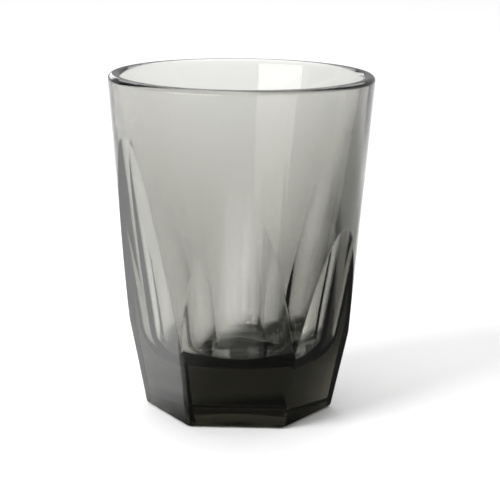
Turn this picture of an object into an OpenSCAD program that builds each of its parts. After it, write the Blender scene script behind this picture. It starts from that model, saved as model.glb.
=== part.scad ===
// Faceted tumbler: one piece of pressed glass. A round, tapering wall with a
// softly rounded lip is cut by six tall flats that give it a solid hexagonal
// foot. The three back flats each have a tilt of their own.
// Millimetres, +Z up, origin at the middle of the foot on the table, and the
// front flat faces -Y.

/* [Overall] */
// Height from the table to the top of the lip
height = 109; // [90:0.5:125]
// Outer diameter at the lip
rim_d = 85; // [78:0.5:95]
// Diameter the round wall would reach at table level if nothing cut it
wall_foot_d = 67; // [64:0.5:70]

/* [Flats] */
// Width across opposite flats, at table level
foot_across_flats = 52.7; // [51:0.1:55]
// How far the three front flats lean outward from upright, in degrees
front_tilt = 10.4; // [10:0.1:11]
// How far the back right flat leans outward, in degrees
back_right_tilt = 8.8; // [8.5:0.1:10.5]
// How far the back flat leans outward, in degrees
back_tilt = 9.5; // [9:0.1:11]
// How far the back left flat leans outward, in degrees
back_left_tilt = 11.9; // [10.5:0.1:12.5]
// Lean of the set of flats towards +X, off the axis of the bowl, in degrees
flats_lean_x = 1.05; // [0:0.05:1.2]
// Lean of the set of flats towards +Y, off the axis of the bowl, in degrees
flats_lean_y = 0.5; // [0:0.05:1.2]
// Height of the chamfer round the bottom edge of the foot
foot_chamfer = 0.8; // [0.4:0.1:1.2]

/* [Bowl] */
// Thickness of the wall at the lip
lip_thickness = 4; // [3.5:0.1:4.5]
// Radius of the lip's two rounded edges
lip_round = 1.6; // [1:0.1:1.7]
// Height of the lowest point of the bowl's floor above the table
floor_height = 17; // [14:0.5:20]
// Diameter at which the bowl's straight wall would reach that height
floor_d = 49; // [46:0.5:50]
// Radius of the round corner between the bowl's wall and its floor
floor_corner_r = 9; // [6:0.5:10]
// Radius of the shallow dish of the bowl's floor
floor_dish_r = 95; // [60:5:200]

/* [Underside] */
// Diameter of the shallow hollow under the foot
hollow_d = 42; // [36:1:46]
// Depth of the hollow at its middle
hollow_depth = 2; // [1:0.1:3]

/* [Hidden] */
flat_count = 6;
facet_step = 360 / flat_count;
chamfer_tilt = 45;
arc_steps = 12;
glass_colour = [0.40, 0.40, 0.38, 0.55];

// Tilts of the flats, starting at the front and going round by the right
flat_tilts = [front_tilt, front_tilt, back_right_tilt, back_tilt, back_left_tilt, front_tilt];

// Radii down the outer and the inner wall, and the height where the lip starts
edge_z = height - lip_round;
rim_r = rim_d / 2;
mouth_r = rim_r - lip_thickness;
floor_r = floor_d / 2;

// The straight bowl wall leans outward by bowl_lean. The middle of its round
// bottom corner lies on a line beside the wall (corner_r_pos = corner_base +
// bowl_slope * corner_z) and where the corner also touches the dished floor
bowl_slope = (mouth_r - floor_r) / (edge_z - floor_height);
bowl_lean = atan(bowl_slope);
dish_z = floor_height + floor_dish_r;
corner_base = floor_r - floor_corner_r / cos(bowl_lean) - floor_height * bowl_slope;
corner_a = 1 + bowl_slope * bowl_slope;
corner_b = dish_z - corner_base * bowl_slope;
corner_c = pow(corner_base, 2) + pow(dish_z, 2) - pow(floor_dish_r - floor_corner_r, 2);
corner_z = (corner_b - sqrt(corner_b * corner_b - corner_a * corner_c)) / corner_a;
corner_r_pos = corner_base + bowl_slope * corner_z;
dish_turn = atan2(corner_r_pos, dish_z - corner_z);

// The underside hollow is the cap of a sphere
hollow_r = hollow_d / 2;
hollow_sphere_r = (hollow_r * hollow_r + hollow_depth * hollow_depth) / (2 * hollow_depth);

// Points on an arc in the half section, from angle a to angle b
function arc(x, z, r, a, b) = [
    for (i = [0:arc_steps])
        [x + r * cos(a + (b - a) * i / arc_steps), z + r * sin(a + (b - a) * i / arc_steps)]
];

// The dished floor from the corner to the axis, without its first point
function dish_arc() = [
    for (i = [1:arc_steps])
        [
            floor_dish_r * sin(dish_turn * (1 - i / arc_steps)),
            dish_z - floor_dish_r * cos(dish_turn * (1 - i / arc_steps))
        ]
];

// Half section of the round glass: foot, outer wall, lip, inner wall, floor
function glass_section() = concat(
    [[0, 0], [wall_foot_d / 2, 0]],
    arc(rim_r - lip_round, edge_z, lip_round, 0, 90),
    arc(mouth_r + lip_round, edge_z, lip_round, 90, 180),
    arc(corner_r_pos, corner_z, floor_corner_r, -bowl_lean, dish_turn - 90),
    dish_arc()
);

module round_glass() {
    rotate_extrude($fn = 180)
        polygon(glass_section());
}

// A block whose inner face is a plane that starts "apothem" from the axis at
// table level and leans outward by "tilt"
module cutting_plane(apothem, tilt) {
    translate([apothem, 0, 0])
        rotate([0, tilt, 0])
            translate([0, -rim_d / 2, -rim_d / 4])
                cube([rim_d / 2, rim_d, 1.5 * height]);
}

module flats_cut() {
    rotate([-flats_lean_y, flats_lean_x, 0])
        for (i = [0:flat_count - 1])
            rotate([0, 0, i * facet_step - 90])
                cutting_plane(foot_across_flats / 2, flat_tilts[i]);
}

module foot_chamfer_cut() {
    for (i = [0:flat_count - 1])
        rotate([0, 0, i * facet_step - 90])
            cutting_plane(foot_across_flats / 2 - foot_chamfer, chamfer_tilt);
}

module underside_hollow() {
    translate([0, 0, hollow_depth - hollow_sphere_r])
        sphere(r = hollow_sphere_r, $fn = 180);
}

module tumbler_glass() {
    color(glass_colour)
        difference() {
            round_glass();
            flats_cut();
            foot_chamfer_cut();
            underside_hollow();
        }
}

tumbler_glass();
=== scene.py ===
"""Looks of the smoke-grey faceted tumbler: one piece of pressed glass, a pale floor and soft studio light.

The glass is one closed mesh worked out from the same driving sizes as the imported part: a round tapering
wall with a softly rounded lip, six leaning flats with slightly rounded creases, a conical bowl with a
dished floor and a hollow under the foot. The mesh columns follow the creases, so that a flat stays flat up
to its edge.
Metres, +Z up, origin at the middle of the foot.
"""

import math

import bpy
import numpy as np
from mathutils import Matrix, Vector


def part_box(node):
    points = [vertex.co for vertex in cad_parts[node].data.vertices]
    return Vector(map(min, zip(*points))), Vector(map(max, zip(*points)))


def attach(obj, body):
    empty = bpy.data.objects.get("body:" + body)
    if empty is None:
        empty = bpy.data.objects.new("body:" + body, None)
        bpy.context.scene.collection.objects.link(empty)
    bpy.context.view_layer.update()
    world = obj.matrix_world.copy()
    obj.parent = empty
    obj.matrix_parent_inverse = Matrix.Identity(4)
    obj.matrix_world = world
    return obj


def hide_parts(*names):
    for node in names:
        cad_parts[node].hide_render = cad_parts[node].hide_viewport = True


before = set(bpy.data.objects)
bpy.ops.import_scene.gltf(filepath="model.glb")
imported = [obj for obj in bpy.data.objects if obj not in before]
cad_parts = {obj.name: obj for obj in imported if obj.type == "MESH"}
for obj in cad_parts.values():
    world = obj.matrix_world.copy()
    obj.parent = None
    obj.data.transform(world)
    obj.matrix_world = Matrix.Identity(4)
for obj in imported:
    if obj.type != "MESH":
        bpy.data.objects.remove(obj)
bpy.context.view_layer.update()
low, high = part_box("tumbler_glass")

MM = 0.001

# The round glass
HEIGHT = high.z - low.z
RIM_R = min(high.x - low.x, high.y - low.y) / 2
WALL_FOOT_R = 33.5 * MM
LIP_THICKNESS = 4 * MM
LIP_ROUND = 1.6 * MM

# The flats, starting at the front and going round by the right
FLAT_COUNT = 6
FOOT_APOTHEM = 26.35 * MM
FLAT_TILTS = [math.radians(angle) for angle in (10.4, 10.4, 8.8, 9.5, 11.9, 10.4)]
FLATS_LEAN_X = math.radians(1.05)
FLATS_LEAN_Y = math.radians(0.5)
CORNER_ROUND = 0.95 * MM
CREASE_ROUND = 0.05 * MM
FOOT_EDGE_R = 0.8 * MM

# The bowl and the hollow under the foot
FLOOR_HEIGHT = 17 * MM
FLOOR_R = 24.5 * MM
FLOOR_CORNER_R = 9 * MM
FLOOR_DISH_R = 95 * MM
HOLLOW_R = 21 * MM
HOLLOW_DEPTH = 2 * MM

# Mesh fineness
FLAT_COLUMNS = 24
WALL_COLUMNS = 24
FLAT_RINGS = 150
FLATS_TOP = 0.86
# Least half turns of the columns of a flat and of the round wall beside it, in radians
LEAST_FLAT = 0.05
LEAST_WALL = 0.035
HALVINGS = 40

# The pale table in metres, a hair under the foot so that no two faces lie in one plane
TABLE_TONE = 0.86
FLOOR_Z = -0.0003
# Height of the disc of painted shadow, between the floor and the foot
PAINTED_SHADOW_Z = -0.0002


def wall_radius(z):
    """Radius of the uncut round wall at height z."""
    share = z / (HEIGHT - LIP_ROUND)
    return WALL_FOOT_R + (RIM_R - WALL_FOOT_R) * share


def flat_planes():
    """Unit normals and distances of the six flats, which lean together off the bowl's axis."""
    lean = Matrix.Rotation(FLATS_LEAN_X, 3, "Y") @ Matrix.Rotation(-FLATS_LEAN_Y, 3, "X")
    planes = []
    for i, tilt in enumerate(FLAT_TILTS):
        turn = 2 * math.pi * i / FLAT_COUNT
        normal = Vector((math.sin(turn), -math.cos(turn), 0)) * math.cos(tilt)
        normal.z = -math.sin(tilt)
        planes.append((np.array(lean @ normal), FOOT_APOTHEM * math.cos(tilt)))
    return planes


PLANES = flat_planes()


def rounded_corner(distances, soft):
    """How far outside all the surfaces a point lies, with their meeting edges rounded off."""
    inside = np.max(distances, axis=0)
    reach = np.maximum(np.array(distances) + soft, 0)
    outside = np.sqrt((reach**2).sum(axis=0)) - soft
    return np.where(inside > -soft, outside, inside)


def outer_distance(radius, turn, z, inset):
    """Distance outside the cut wall, at polar places (radius, turn, z). inset pulls the flats inwards."""
    x = radius * np.sin(turn)
    y = -radius * np.cos(turn)
    flats = [n[0] * x + n[1] * y + n[2] * z - (d - inset) for n, d in PLANES]
    cut = rounded_corner(flats, CORNER_ROUND)
    lean = math.atan2(RIM_R - WALL_FOOT_R, HEIGHT - LIP_ROUND)
    wall = (radius - wall_radius(z)) * math.cos(lean)
    return rounded_corner([cut, wall], CREASE_ROUND)


def outer_radius(turn, z, inset=0.0):
    """Radius of the outside at each turn and height, found by halving."""
    near = np.full_like(turn, 0.5 * FOOT_APOTHEM)
    far = np.full_like(turn, 1.1 * RIM_R)
    for _ in range(HALVINGS):
        middle = (near + far) / 2
        out = outer_distance(middle, turn, z, inset) > 0
        far = np.where(out, middle, far)
        near = np.where(out, near, middle)
    return (near + far) / 2


def flat_sides(z):
    """Turn of each flat's middle at height z, and the turn from there to its creases with the round wall."""
    radius = wall_radius(z)
    sides = []
    for normal, distance in PLANES:
        across = math.hypot(normal[0], normal[1])
        middle = math.atan2(normal[0], -normal[1])
        cosine = (distance - normal[2] * z) / (across * radius)
        half = math.acos(min(1.0, cosine))
        sides.append((middle, half))
    return sides


def spread(start, end, count):
    """count values from start up to, not including, end, closest together near both."""
    share = (1 - np.cos(np.linspace(0, math.pi, count + 1))) / 2
    return start + (end - start) * share[:-1]


def column_turns(z):
    """Turns of all the mesh columns at height z: each flat between its creases, then the round wall."""
    step = 2 * math.pi / FLAT_COUNT
    sides = flat_sides(z)
    strips = []
    for i in range(FLAT_COUNT):
        middle, half = sides[i]
        next_middle, next_half = sides[(i + 1) % FLAT_COUNT]
        middle += 2 * math.pi * round((i * step - middle) / (2 * math.pi))
        next_middle += 2 * math.pi * round(((i + 1) * step - next_middle) / (2 * math.pi))
        right = middle + max(half, LEAST_FLAT)
        left = next_middle - max(next_half, LEAST_FLAT)
        if left - right < 2 * LEAST_WALL:
            centre = (middle + next_middle) / 2
            right = centre - LEAST_WALL
            left = centre + LEAST_WALL
        strips.append((right, left))
    turns = []
    start = strips[-1][1] - 2 * math.pi
    for right, left in strips:
        turns.append(spread(start, right, FLAT_COLUMNS))
        turns.append(spread(right, left, WALL_COLUMNS))
        start = left
    return np.concatenate(turns)


EVEN_TURNS = np.linspace(0, 2 * math.pi, FLAT_COUNT * (FLAT_COLUMNS + WALL_COLUMNS), endpoint=False)
EVEN_TURNS = EVEN_TURNS - math.pi / FLAT_COUNT


def ring(radius, turn, z):
    """One closed ring of points."""
    z = np.broadcast_to(z, turn.shape)
    return np.stack([radius * np.sin(turn), -radius * np.cos(turn), z], axis=1)


def arc(start, end, count):
    return [start + (end - start) * i / count for i in range(count + 1)]


def foot_rings():
    """From the hollow's middle out over the resting band and round the foot's bottom edge."""
    turns = column_turns(FOOT_EDGE_R)
    sphere_r = (HOLLOW_R**2 + HOLLOW_DEPTH**2) / (2 * HOLLOW_DEPTH)
    rings = []
    for share in np.linspace(0.04, 1, 26):
        radius = HOLLOW_R * share
        height = HOLLOW_DEPTH - sphere_r + math.sqrt(sphere_r**2 - radius**2)
        rings.append(ring(np.full_like(turns, radius), turns, height))
    edge = outer_radius(turns, np.zeros_like(turns), FOOT_EDGE_R)
    for share in (0.25, 0.5, 0.75, 1):
        rings.append(ring(HOLLOW_R + (edge - HOLLOW_R) * share, turns, 0.0))
    for angle in arc(0, math.pi / 2, 6)[1:-1]:
        height = FOOT_EDGE_R * (1 - math.cos(angle))
        inset = FOOT_EDGE_R * (1 - math.sin(angle))
        rings.append(ring(outer_radius(turns, np.full_like(turns, height), inset), turns, height))
    return rings


def wall_rings():
    """Up the flats and the round wall to the lip, easing from crease-following to even columns."""
    rings = []
    top = FLATS_TOP * HEIGHT
    for z in np.linspace(FOOT_EDGE_R, top, FLAT_RINGS):
        turns = column_turns(z)
        rings.append(ring(outer_radius(turns, np.full_like(turns, z)), turns, z))
    for share in np.linspace(0, 1, 9)[1:-1]:
        z = top + (HEIGHT - LIP_ROUND - top) * share
        turns = column_turns(top) * (1 - share) + EVEN_TURNS * share
        rings.append(ring(wall_radius(z), turns, z))
    return rings


def arc_points(radius, height, bend, start, end, count):
    """Points of an arc in the half section, round (radius, height)."""
    turns = arc(start, end, count)
    return [(radius + bend * math.cos(turn), height + bend * math.sin(turn)) for turn in turns]


def bowl_section():
    """Half section (radius, height) over the lip, down the bowl's wall and round its corner to the middle."""
    edge_z = HEIGHT - LIP_ROUND
    mouth_r = RIM_R - LIP_THICKNESS
    points = arc_points(RIM_R - LIP_ROUND, edge_z, LIP_ROUND, 0, math.pi / 2, 10)
    points += arc_points(mouth_r + LIP_ROUND, edge_z, LIP_ROUND, math.pi / 2, math.pi, 10)[1:]

    # The corner's circle touches the bowl's wall and, from inside, the sphere of the dished floor.
    slope = (mouth_r - FLOOR_R) / (edge_z - FLOOR_HEIGHT)
    lean = math.atan(slope)
    dish_z = FLOOR_HEIGHT + FLOOR_DISH_R
    offset = FLOOR_R - FLOOR_CORNER_R / math.cos(lean) - FLOOR_HEIGHT * slope
    half_b = offset * slope - dish_z
    c = offset**2 + dish_z**2 - (FLOOR_DISH_R - FLOOR_CORNER_R) ** 2
    corner_z = (-half_b - math.sqrt(half_b**2 - (1 + slope**2) * c)) / (1 + slope**2)
    corner_r = offset + slope * corner_z
    dish_turn = math.atan2(corner_r, dish_z - corner_z)

    start_r = corner_r + FLOOR_CORNER_R * math.cos(lean)
    start_z = corner_z - FLOOR_CORNER_R * math.sin(lean)
    for share in np.linspace(0, 1, 40)[1:-1]:
        points.append((mouth_r + (start_r - mouth_r) * share, edge_z + (start_z - edge_z) * share))
    points += arc_points(corner_r, corner_z, FLOOR_CORNER_R, -lean, dish_turn - math.pi / 2, 20)
    for angle in arc(dish_turn, 0, 26)[1:-1]:
        points.append((FLOOR_DISH_R * math.sin(angle), dish_z - FLOOR_DISH_R * math.cos(angle)))
    return points


def glass_mesh():
    """The whole glass as one closed skin of rings, with a middle point under the foot and in the bowl."""
    rings = foot_rings() + wall_rings()
    rings += [ring(radius, EVEN_TURNS, height) for radius, height in bowl_section()]
    columns = len(EVEN_TURNS)
    points = np.concatenate(rings + [np.array([[0, 0, HOLLOW_DEPTH], [0, 0, FLOOR_HEIGHT]])])
    under = len(points) - 2
    floor = len(points) - 1
    here = np.arange(columns)
    after = (here + 1) % columns
    faces = [np.stack([after, here, np.full(columns, under)], axis=1).tolist()]
    quads = []
    for level in range(len(rings) - 1):
        base = level * columns
        quads.append(np.stack([here, after, after + columns, here + columns], axis=1) + base)
    faces.append(np.concatenate(quads).tolist())
    last = (len(rings) - 1) * columns
    faces.append(np.stack([here + last, after + last, np.full(columns, floor)], axis=1).tolist())
    mesh = bpy.data.meshes.new("tumbler_glass_skin")
    mesh.from_pydata(points.tolist(), [], sum(faces, []))
    mesh.validate()
    mesh.shade_smooth()
    return mesh


def smoke_glass():
    """Clear, polished glass whose grey comes from its whole thickness, with the faint ripple of pressing."""
    material = bpy.data.materials.new("smoke_glass")
    material.use_nodes = True
    nodes = material.node_tree.nodes
    links = material.node_tree.links
    surface = nodes["Principled BSDF"]
    surface.inputs["Base Color"].default_value = (1, 1, 1, 1)
    surface.inputs["Roughness"].default_value = 0.0
    surface.inputs["IOR"].default_value = 1.5
    surface.inputs["Transmission Weight"].default_value = 1.0
    place = nodes.new("ShaderNodeTexCoord")
    stretch = nodes.new("ShaderNodeMapping")
    stretch.inputs["Scale"].default_value = (60.0, 60.0, 14.0)
    ripple = nodes.new("ShaderNodeTexNoise")
    ripple.inputs["Scale"].default_value = 1.0
    ripple.inputs["Detail"].default_value = 1.0
    bump = nodes.new("ShaderNodeBump")
    bump.inputs["Strength"].default_value = 0.35
    bump.inputs["Distance"].default_value = 0.0004
    links.new(place.outputs["Object"], stretch.inputs["Vector"])
    links.new(stretch.outputs["Vector"], ripple.inputs["Vector"])
    links.new(ripple.outputs["Fac"], bump.inputs["Height"])
    links.new(bump.outputs["Normal"], surface.inputs["Normal"])
    tint = nodes.new("ShaderNodeVolumeAbsorption")
    tint.inputs["Color"].default_value = (0.26, 0.255, 0.19, 1)
    tint.inputs["Density"].default_value = 109.0
    links.new(tint.outputs["Volume"], nodes["Material Output"].inputs["Volume"])
    return material


def plain_material(name, colour, roughness):
    material = bpy.data.materials.new(name)
    material.use_nodes = True
    surface = material.node_tree.nodes["Principled BSDF"]
    surface.inputs["Base Color"].default_value = (*colour, 1)
    surface.inputs["Roughness"].default_value = roughness
    return material


def add_tumbler():
    tumbler = bpy.data.objects.new("tumbler_glass_piece", glass_mesh())
    bpy.context.scene.collection.objects.link(tumbler)
    tumbler.data.materials.append(smoke_glass())
    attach(tumbler, "root")
    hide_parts("tumbler_glass")
    return tumbler


def add_card(name, centre, facing, width, height, material):
    """A flat card of the studio, seen in and through the glass only."""
    bpy.ops.mesh.primitive_plane_add(size=1)
    card = bpy.context.object
    card.name = name
    card.scale = (width, height, 1)
    card.location = centre
    card.rotation_euler = (Vector(facing) - Vector(centre)).to_track_quat("Z", "Y").to_euler()
    card.data.materials.append(material)
    card.visible_camera = False
    card.visible_diffuse = False
    card.visible_shadow = False
    return card


def add_floor():
    bpy.ops.mesh.primitive_circle_add(vertices=96, radius=6, fill_type="NGON")
    floor = bpy.context.object
    floor.name = "floor"
    floor.location.z = FLOOR_Z
    floor.data.materials.append(plain_material("pale_floor", (TABLE_TONE, TABLE_TONE, TABLE_TONE), 0.8))


def add_softbox(name, centre, size, radiance, target=(0, 0, HEIGHT / 2)):
    """A rectangular lamp turned to the target; its radiance stays the same whatever its size."""
    lamp = bpy.data.lights.new(name, "AREA")
    lamp.shape = "RECTANGLE"
    lamp.size = size[0]
    lamp.size_y = size[1]
    lamp.energy = radiance * math.pi * size[0] * size[1]
    holder = bpy.data.objects.new(name, lamp)
    bpy.context.scene.collection.objects.link(holder)
    holder.location = centre
    aim = Vector(target) - Vector(centre)
    holder.rotation_euler = aim.to_track_quat("-Z", "Y").to_euler()
    holder.visible_camera = False
    return holder


def add_fade(tree, place, centre, radii, solid, tone):
    """White that fades to tone inside an ellipse; solid is how far in it starts, 1 being the middle."""
    nodes = tree.nodes
    links = tree.links
    mapping = nodes.new("ShaderNodeMapping")
    mapping.vector_type = "TEXTURE"
    mapping.inputs["Location"].default_value = (*centre, 0)
    mapping.inputs["Scale"].default_value = (*radii, 1)
    fade = nodes.new("ShaderNodeTexGradient")
    fade.gradient_type = "SPHERICAL"
    tones = nodes.new("ShaderNodeValToRGB")
    tones.color_ramp.interpolation = "EASE"
    tones.color_ramp.elements[0].position = 0.0
    tones.color_ramp.elements[0].color = (1, 1, 1, 1)
    tones.color_ramp.elements[1].position = solid
    tones.color_ramp.elements[1].color = (tone, tone, tone, 1)
    links.new(place, mapping.inputs["Vector"])
    links.new(mapping.outputs["Vector"], fade.inputs["Vector"])
    links.new(fade.outputs["Fac"], tones.inputs["Fac"])
    return tones.outputs["Color"]


def add_painted_shadow_patch():
    """Painted shadow on the table near the foot and to its right, seen in the glass only, fading into the
    floor.
    """
    bpy.ops.mesh.primitive_circle_add(vertices=96, radius=0.8, fill_type="NGON")
    shadow_patch = bpy.context.object
    shadow_patch.name = "painted_shadow_patch"
    shadow_patch.location.z = PAINTED_SHADOW_Z
    material = plain_material("painted_shadow_patch", (1, 1, 1), 1.0)
    tree = material.node_tree
    place = tree.nodes.new("ShaderNodeTexCoord").outputs["Object"]
    # Painted contact shadow close round the foot, reaching a little to the right
    near = add_fade(tree, place, (0.086, -0.02), (0.13, 0.14), 0.25, 0.115)
    # Painted shadow of the glass, falling to the right and back
    right = add_fade(tree, place, (0.25, 0.05), (0.3, 0.3), 0.5, 0.5)
    both = tree.nodes.new("ShaderNodeVectorMath")
    both.operation = "MULTIPLY"
    whole = tree.nodes.new("ShaderNodeVectorMath")
    whole.operation = "SCALE"
    whole.inputs["Scale"].default_value = TABLE_TONE
    tree.links.new(near, both.inputs[0])
    tree.links.new(right, both.inputs[1])
    tree.links.new(both.outputs["Vector"], whole.inputs[0])
    tree.links.new(whole.outputs["Vector"], tree.nodes["Principled BSDF"].inputs["Base Color"])
    shadow_patch.data.materials.append(material)
    shadow_patch.visible_camera = False
    shadow_patch.visible_diffuse = False
    shadow_patch.visible_shadow = False
    return shadow_patch


def add_world(strength):
    world = bpy.data.worlds.new("studio")
    world.use_nodes = True
    world.node_tree.nodes["Background"].inputs["Color"].default_value = (1, 1, 1, 1)
    world.node_tree.nodes["Background"].inputs["Strength"].default_value = strength
    bpy.context.scene.world = world


def add_camera():
    """A long lens a little above the lip, turned slightly round the front flat."""
    distance = 0.6249
    height = 0.187
    azimuth = math.radians(1.8)
    aim_azimuth = math.radians(1.5)
    pitch = math.radians(12.217)
    roll = math.radians(0.66)
    level = Vector((-math.sin(aim_azimuth), math.cos(aim_azimuth), 0))
    forward = level * math.cos(pitch) - Vector((0, 0, math.sin(pitch)))
    right = Vector((math.cos(aim_azimuth), math.sin(aim_azimuth), 0))
    up = right.cross(forward)
    tilt_right = right * math.cos(roll) + up * math.sin(roll)
    tilt_up = up * math.cos(roll) - right * math.sin(roll)
    data = bpy.data.cameras.new("camera")
    data.lens = 142.4
    data.sensor_width = 36
    data.clip_start = 0.01
    camera = bpy.data.objects.new("camera", data)
    bpy.context.scene.collection.objects.link(camera)
    place = Matrix.Translation((distance * math.sin(azimuth), -distance * math.cos(azimuth), height))
    turned = Matrix((tilt_right, tilt_up, -forward)).transposed().to_4x4()
    camera.matrix_world = place @ turned
    bpy.context.scene.camera = camera


def set_look():
    scene = bpy.context.scene
    scene.view_settings.view_transform = "Standard"
    scene.cycles.max_bounces = 24
    scene.cycles.transmission_bounces = 24
    scene.cycles.glossy_bounces = 12
    scene.cycles.use_denoising = True


add_tumbler()
add_floor()
add_world(0.44)
add_softbox("low_softbox", (-0.67, -0.87, 0.175), (0.91, 0.35), 3.8)
add_softbox("top_softbox", (0.0, 0.4, 1.5), (1.6, 1.6), 1.65)
key = add_softbox("key_softbox", (-0.77, -0.69, 0.8), (0.6, 0.6), 14.5)
key.visible_glossy = False
add_softbox("far_softbox", (0.0, 2.6, 1.9), (4.0, 1.4), 2.1, (0, 1.7, 0))
add_softbox("back_softbox", (-0.41, 1.08, 0.32), (0.45, 0.24), 2.0)
# Painted shadow on the table, seen in and through the glass only
add_painted_shadow_patch()
black = plain_material("black_card", (0.01, 0.01, 0.01), 1.0)
add_card("left_card", (-0.79, 0.1, 0.25), (0, 0, 0.25), 0.85, 0.5, black)
add_camera()
set_look()
